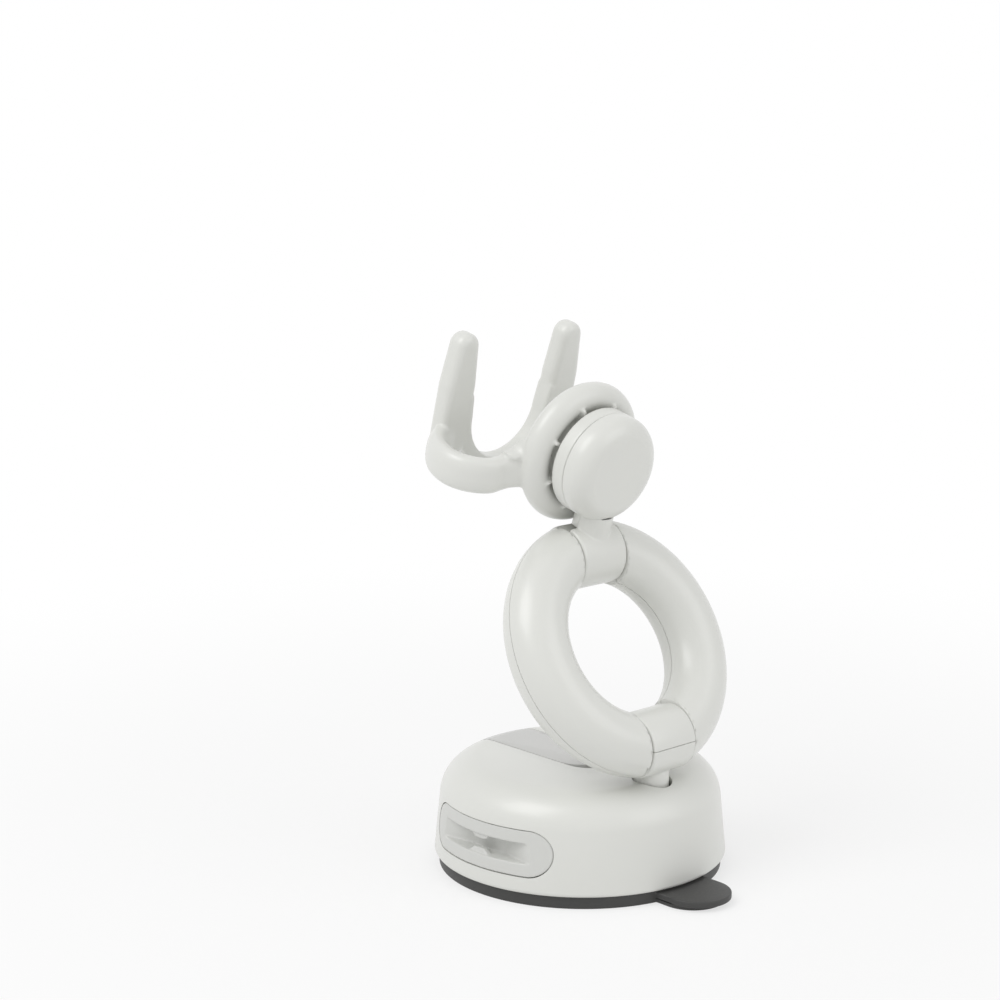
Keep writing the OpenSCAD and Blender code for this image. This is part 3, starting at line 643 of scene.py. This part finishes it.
def ease(piece, rounds, reach):
    """Softens a piece only where reach gives a place some weight."""
    group = piece.vertex_groups.new(name="soft corner")
    for vert in piece.data.vertices:
        pull = reach(vert.co)
        if pull > 0:
            group.add([vert.index], min(pull, 1), "REPLACE")
    finish_with(piece, "SMOOTH", factor=0.5, iterations=rounds, vertex_group=group.name)
    piece.vertex_groups.clear()


hinge = Vector((0, stem_y, hinge_z))
yoke = barrel("stem_and_barrel", hinge)
split(yoke, parting_z - parting_gap / 2, False)
post_top = hinge_z - barrel_r / 2
post = rod("post", stem_r, post_top - plate_top, (0, stem_y, (post_top + plate_top) / 2))
combine(post, rod("post_top", barrel_r - 1, far, hinge, (1, 0, 0)), "DIFFERENCE")
combine(yoke, post, "UNION")
combine(yoke, rod("foot", foot_r, foot_h, (0, stem_y, plate_top + foot_h / 2)), "UNION")
melt(yoke, 0.2, 2)
joint_z = hinge_z - math.sqrt(barrel_r ** 2 - stem_r ** 2)
ease(yoke, 24, lambda at: 1.6 - abs(at.z - joint_z) / 1.6
     - abs(math.hypot(at.x, at.y - stem_y) - stem_r) / 1.6)
coat(yoke, white_plastic)
settle(yoke, "base", "white", "stem_yoke")

barrel_cap = barrel("barrel_cap", hinge)
split(barrel_cap, parting_z + parting_gap / 2, True)
weld_points(barrel_cap, 0.02)
coat(barrel_cap, white_plastic)
settle(barrel_cap, "base", "white", "stem_cap")

# Ring arm: a round tube bent to a ring, moulded as four half shells. The front and back
# halves meet in the ring's middle plane, and sunk screws hold them from the front.
ring_r = 22.4
tube_r = 7
ring_wall = 2
arc_end = 6.65
ring_spot = Matrix.Translation((0, 11.298, 51.742)) @ Matrix.Rotation(math.radians(119.4), 4, "X")
seam_gap = 0.18
axle_inset = 21.8
screw_angles = (-48, 0, 48)
screw_seat = 3.2
screw_room_r = 2.2
boss_r = 2.8
clearance_r = 1.28
axle_seat_r = 2.03
axle_seat_l = 9.2


def tube_depth(at):
    """How far a point lies under the skin of the ring's tube."""
    return tube_r - math.hypot(math.hypot(at.x, at.y) - ring_r, at.z)


for side_name, sign in (("right", 1), ("left", -1)):
    for half_name, half in (("front", 1), ("back", -1)):
        bpy.ops.mesh.primitive_torus_add(major_radius=ring_r, minor_radius=tube_r,
                                         major_segments=240, minor_segments=96)
        shell_part = bpy.context.object
        shell_part.name = "ring_shell_" + side_name + "_" + half_name
        pick(shell_part, "FACE", lambda face: True)
        bpy.ops.mesh.bisect(plane_co=(sign * arc_end, 0, 0), plane_no=(sign, 0, 0),
                            use_fill=True, clear_inner=True)
        bpy.ops.mesh.select_all(action="SELECT")
        bpy.ops.mesh.bisect(plane_co=(0, 0, half * seam_gap / 2), plane_no=(0, 0, half),
                            clear_inner=True)
        close()
        finish_with(shell_part, "SOLIDIFY", thickness=ring_wall, offset=-1,
                    use_even_offset=True)
        round_edges(shell_part, 0.25, 3, where=lambda at: tube_depth(at) < 0.1
                    and abs(at.x) < arc_end + 0.01)
        round_edges(shell_part, 0.05, 2, where=lambda at: tube_depth(at) < 0.01
                    and abs(at.z) < seam_gap and abs(at.x) > arc_end + 0.3)
        for angle in screw_angles:
            a = math.radians(angle)
            x, y = sign * ring_r * math.cos(a), ring_r * math.sin(a)
            boss_h = tube_r - ring_wall / 2
            combine(shell_part, rod("boss", boss_r, boss_h - 0.01,
                                    (x, y, half * (boss_h / 2 + 0.005))), "UNION")
            if half > 0:
                combine(shell_part, rod("sink", screw_room_r, 10, (x, y, screw_seat + 5)),
                        "DIFFERENCE")
                combine(shell_part, rod("clearance", clearance_r, 10, (x, y, 0)), "DIFFERENCE")
        for end in (-1, 1):
            combine(shell_part, rod("axle_seat", axle_seat_r, axle_seat_l,
                                    (sign * axle_seat_l / 2, end * axle_inset, 0),
                                    (1, 0, 0)), "DIFFERENCE")
        weld_points(shell_part, 0.01)
        stand(shell_part, ring_spot)
        coat(shell_part, white_plastic)
        settle(shell_part, "ring", "white", "ring_" + side_name + "_" + half_name)

# Head collar: the upper barrel, the neck and the collar are one moulding. The neck grows
# out of the barrel in a soft fillet, and the fork turns on the journal behind the collar.
head_spot = Matrix.Translation((0, 3.1, 92.5)) @ Matrix.Rotation(math.radians(75.2), 4, "X")
head_axis = (head_spot.to_3x3() @ Vector((0, 0, 1))).normalized()
head_point = head_spot.translation
upper_hinge = Vector((0, 0.597, 70.735))
head_r = 12.05
collar_w = 3.4
head_w = 9.35
head_wall = 1.8
journal_r = 5
journal_w = 5.9
neck_r = 4.3
neck_top = head_point - head_w / 2 * head_axis
neck_axis = (neck_top - upper_hinge).normalized()
neck_l = (neck_top - upper_hinge).length
neck_spot = Matrix.Translation(upper_hinge) @ Vector((0, 0, 1)).rotation_difference(
    neck_axis).to_matrix().to_4x4()
cover_foot = 5.6
cover_t = 1.5
nut_seat_low = -6.7
nut_seat_w = 5.7
spindle_bore_r = 2.03


def at_head(w):
    return head_point + w * head_axis


def cover_zone(name, gap):
    """The space of the neck's cover: the front half of its skin, above its foot."""
    zone = block(name, (-20, -20, cover_foot + gap), (20, -gap, 60))
    pick(zone, "EDGE", lambda edge: all(
        v.co.y > -1 and v.co.z < cover_foot + 1 for v in edge.verts))
    bpy.ops.mesh.bevel(offset=1.1, segments=8, affect="EDGES")
    close()
    combine(zone, rod("core", neck_r - cover_t + gap, 150, (0, 0, 0), sides=64), "DIFFERENCE")
    stand(zone, neck_spot)
    combine(zone, rod("head_room", head_r + 0.05, 2 * far, at_head(0), head_axis, 128),
            "DIFFERENCE")
    return zone


collar = rod("collar_and_neck", head_r, collar_w, at_head(-collar_w / 2), head_axis, 160)
round_edges(collar, 0.25, 3)
combine(collar, rod("hollow", head_r - head_wall, head_w - 2,
                    at_head(-2 - (head_w - 2) / 2), head_axis, 128), "DIFFERENCE")
neck = rod("neck", neck_r, neck_l, upper_hinge + neck_l / 2 * neck_axis, neck_axis)
combine(neck, rod("neck_foot", barrel_r - 1, far, upper_hinge, (1, 0, 0)), "DIFFERENCE")
combine(neck, rod("neck_head", head_r - head_wall / 2, far, at_head(-far / 2), head_axis),
        "DIFFERENCE")
combine(collar, neck, "UNION")
combine(collar, rod("journal", journal_r - 0.02, journal_w + 1, at_head((journal_w - 1) / 2),
                    head_axis), "UNION")
combine(collar, rod("nut_seat", journal_r + 0.5, nut_seat_w,
                    at_head(nut_seat_low + nut_seat_w / 2), head_axis), "UNION")
combine(collar, barrel("upper_barrel", upper_hinge), "UNION")
combine(collar, rod("spindle_bore", spindle_bore_r, far, at_head(0), head_axis), "DIFFERENCE")
melt(collar, 0.22, 2)
foot_rise = math.sqrt(barrel_r ** 2 - neck_r ** 2)


def neck_corner(at):
    """Strongest where the neck's side meets the barrel's round."""
    out = at - upper_hinge
    along = out.dot(neck_axis)
    beside = (out - along * neck_axis).length
    if along < 0:
        return 0
    return 1.5 - abs(along - foot_rise - 0.6) / 2.2 - max(0, abs(beside - neck_r) - 0.4) / 1.6


ease(collar, 10, neck_corner)
combine(collar, cover_zone("cover_room", 0), "DIFFERENCE")
weld_points(collar, 0.01)
coat(collar, white_plastic)
settle(collar, "head", "white", "head_collar")

# Neck cover: a small curved lid on the front of the neck, snapped in flush with it. A thin
# seam with a round corner parts it from the neck on each side.
lid = rod("neck_lid", neck_r, neck_l, upper_hinge + neck_l / 2 * neck_axis, neck_axis, 128)
combine(lid, cover_zone("lid_room", 0.05), "INTERSECT")
combine(lid, rod("barrel_room", barrel_r + 0.05, far, upper_hinge, (1, 0, 0)), "DIFFERENCE")
weld_points(lid, 0.02)
round_edges(lid, 0.1, 2)
coat(lid, white_plastic)
settle(lid, "head", "white", "neck_cover")

# Head cap: a turned-looking button that closes the head from behind. It meets the collar in
# a fine seam, and a notch in its side lets the neck in.
cap_edge_r = 4.2
cap_w = -collar_w - 0.08
cap_chamfer = 0.12
cap_outline = [(0, -head_w), (head_r - cap_edge_r, -head_w)]
cap_outline += arc((head_r - cap_edge_r, -head_w + cap_edge_r), cap_edge_r, -90, 0, 20)[1:]
cap_outline += [(head_r, cap_w - cap_chamfer), (head_r - cap_chamfer, cap_w)]
cap_outline += [(head_r - head_wall, cap_w)]
cap_outline += arc((head_r - cap_edge_r, -head_w + cap_edge_r), cap_edge_r - head_wall,
                   0, -90, 12)
cap_outline += [(0, -head_w + head_wall)]
head_cap = turned("head_button", cap_outline, 160)
stand(head_cap, head_spot)
combine(head_cap, rod("neck_notch", neck_r + 0.02, neck_l + 1,
                      upper_hinge + (neck_l + 1) / 2 * neck_axis, neck_axis, 128),
        "DIFFERENCE")
weld_points(head_cap, 0.01)
coat(head_cap, white_plastic)
settle(head_cap, "head", "white", "head_cap")

# Fork: one moulding with a fat ring round the hub, two arms that curl forward, and two
# prongs with a seat between them. Eight thin ribs fill the gap behind the collar.
fork_ring_r = 12.95
fork_section_r = 3.15
fork_ring_w = 4.4
web_w = 2.5
hub_r = 8.6
hub_front = 0.35
hub_back = 9.6
hub_bore_r = 5.06
hub_recess_r = 6.8
hub_seat = 6
rib_w = 0.9
rib_count = 8
arm_t = 4.4
arm_h = 8
arm_v = -5
arm_power = 2.6
arm_curl_u = 19.8
arm_curl_w = 16
arm_curl_turn = 95
arm_hook_u = 12.33
arm_hook_w = 15.35
arm_hook_turn = 76.5
arm_rise = 2
arm_bend_u = 21
arm_bend_run = 8.5
root_u = 10
root_slant = 30
root_bend_w = 1
root_bend_r = 8
prong_back = 29.7
prong_t = 5.2
prong_u = 15.7
prong_half = 4.1
prong_tip_r = 3
prong_tip_v = 17
prong_wide_v = 8
seat_r = 11
seat_out_r = 14.7
prong_inner_u = 11.65
lip_v = 5.5
prong_round = 1.8
cradle_round = 1
fillet_u = 18.2
fillet_v = 3.4
fillet_r = 3
gusset_u = 13.2
gusset_top_v = 3.2
gusset_low_v = -1
gusset_half_t = 2
gusset_w = 6.3
gusset_climb = 0.41
gusset_foot_u = 13
gusset_round = 1.2

bpy.ops.mesh.primitive_torus_add(major_radius=fork_ring_r, minor_radius=fork_section_r,
                                 major_segments=160, minor_segments=48,
                                 location=(0, 0, fork_ring_w))
fork = bpy.context.object
fork.name = "fork_moulding"
bpy.ops.object.transform_apply(location=True, rotation=True, scale=True)
joined = [rod("web", fork_ring_r, web_w, (0, 0, fork_ring_w), sides=128),
          rod("hub", hub_r, hub_back - hub_front, (0, 0, (hub_back + hub_front) / 2),
              sides=128)]
for i in range(rib_count):
    rib = block("rib", (hub_r - 1, -rib_w / 2, hub_front), (fork_ring_r - 0.4, rib_w / 2,
                                                            fork_ring_w))
    joined.append(stand(rib, Matrix.Rotation(math.radians((i + 0.5) * 360 / rib_count), 4, "Z")))


def rise_at(u):
    """An arm leaves the ring this much higher than where it curls."""
    share = min(max((arm_bend_u - u) / arm_bend_run, 0), 1)
    return arm_rise * share * share * (3 - 2 * share)


def curled_arm():
    """The arm's section drawn at its root, pushed out straight and spun round its bends."""
    slant = math.radians(root_slant)
    bend = Vector((arm_curl_u, arm_v, root_bend_w))
    curl = Vector((arm_curl_u, arm_v, arm_curl_w))
    hook = Vector((arm_hook_u, arm_v, arm_hook_w))
    end = bend + root_bend_r * Vector((-math.sin(slant), 0, math.cos(slant)))
    heading = Vector((math.cos(slant), 0, math.sin(slant)))
    outward = Vector((-math.sin(slant), 0, math.cos(slant)))
    length = (end.x - root_u) / math.cos(slant)
    start = end - length * heading
    outline = []
    for a, b in arc((0, 0), 1, 0, 351, 39):
        outline.append((math.copysign(abs(a) ** (2 / arm_power), a) * arm_t / 2,
                        math.copysign(abs(b) ** (2 / arm_power), b) * arm_h / 2))
    bpy.ops.mesh.primitive_circle_add(vertices=len(outline), fill_type="NGON")
    arm = bpy.context.object
    arm.name = "arm"
    for corner, (a, b) in zip(arm.data.vertices, outline):
        corner.co = start + a * outward + b * Vector((0, 1, 0))
    pick(arm, "FACE", lambda face: True)
    bpy.ops.mesh.extrude_region_move(TRANSFORM_OT_translate={"value": length * heading})
    bpy.ops.mesh.spin(steps=10, angle=slant, center=bend, axis=(0, -1, 0))
    bpy.ops.mesh.spin(steps=28, angle=math.radians(arm_curl_turn), center=curl, axis=(0, 1, 0))
    bpy.ops.mesh.spin(steps=36, angle=math.radians(arm_hook_turn), center=hook, axis=(0, 1, 0))
    bpy.ops.mesh.select_all(action="SELECT")
    bpy.ops.mesh.normals_make_consistent(inside=False)
    close()
    for corner in arm.data.vertices:
        if corner.co.z < hook.z:
            corner.co.y += rise_at(corner.co.x)
    return arm


def mirrored(piece):
    """The same piece on the fork's other side, with a mesh of its own."""
    take(piece)
    bpy.ops.object.duplicate(linked=False)
    other = bpy.context.object
    other.scale = (-1, 1, 1)
    bpy.ops.object.transform_apply(location=True, rotation=True, scale=True)
    pick(other, "FACE", lambda face: True)
    bpy.ops.mesh.normals_make_consistent(inside=False)
    close()
    return other


def flat_edge(edge):
    """An edge round the top or the bottom of a slab."""
    return abs(edge.verts[0].co.z - edge.verts[1].co.z) < 0.001


def soften(piece, radius, steps):
    """Rounds a slab's edges at its top and its bottom."""
    pick(piece, "EDGE", flat_edge)
    bpy.ops.mesh.bevel(offset=radius, segments=steps, affect="EDGES", clamp_overlap=False)
    close()


right_arm = curled_arm()
prong = arc((prong_u, arm_v), prong_half, 180, 360, 24)
prong += [(prong_u + prong_half, prong_wide_v)]
prong += arc((prong_u, prong_tip_v), prong_tip_r, 8, 172, 24)
prong += [(prong_u - prong_half, prong_wide_v)]
prong_low, prong_high = prong_back - prong_t / 2, prong_back + prong_t / 2
right_prong = slab("prong", prong, prong_low, prong_high)
soften(right_prong, prong_round, 6)
lip = [(prong_inner_u, lip_v), (seat_out_r, lip_v)]
outline = arc((0, 0), seat_out_r, 180, 360, 64) + lip[::-1]
outline += arc((0, 0), seat_r, 360, 180, 64) + [(-u, v) for u, v in lip]
cradle = slab("cradle", outline, prong_low, prong_high)
soften(cradle, cradle_round, 4)
gusset_line = [(gusset_u, gusset_top_v), (gusset_u, gusset_low_v), (fillet_u, gusset_low_v)]
gusset_line += arc((fillet_u, fillet_v), fillet_r, -90, -180, 12)
gusset = slab("gusset", gusset_line, -gusset_half_t, gusset_half_t)
soften(gusset, gusset_round, 4)
for corner in gusset.data.vertices:
    corner.co.z += gusset_w + gusset_climb * (corner.co.x - gusset_foot_u)
joined += [right_arm, mirrored(right_arm), right_prong, mirrored(right_prong), cradle,
           gusset, mirrored(gusset)]
take(fork)
for piece in joined:
    piece.select_set(True)
bpy.ops.object.join()
melt(fork, 0.28, 3)


def fork_corner(at):
    """Strongest where an arm leaves the ring, and where a prong sits on its arm."""
    root = 1.6 - abs(math.hypot(at.x, at.y) - fork_ring_r - 1) / 3.2 - abs(at.y - arm_v) / 9
    if at.z > 11:
        root = 0
    tip = 1.3 - abs(at.z - prong_low) / 1.8 - abs(at.y - arm_v) / 9
    return max(root, tip)


ease(fork, 24, fork_corner)
combine(fork, rod("hub_bore", hub_bore_r, 30, (0, 0, 0)), "DIFFERENCE")
combine(fork, rod("hub_recess", hub_recess_r, 10, (0, 0, hub_seat + 5), sides=128),
        "DIFFERENCE")
stand(fork, head_spot)
coat(fork, white_plastic)
settle(fork, "fork", "white", "fork")

# Hub cover: a thin disc pressed into the fork's hub over the spindle's screw, with a
# shallow dish in its face.
disc_r = 6.77
disc_low = 8.6
disc_high = 9.6
dish_r = 4.6
disc = turned("hub_disc", [(0, disc_low), (disc_r, disc_low), (disc_r, disc_high - 0.25),
                           (disc_r - 0.25, disc_high), (dish_r + 0.5, disc_high),
                           (dish_r, disc_high - 0.3), (0, disc_high - 0.35)], 128)
round_edges(disc, 0.06, 2, 25)
stand(disc, head_spot)
coat(disc, white_plastic)
settle(disc, "fork", "white", "hub_cover")
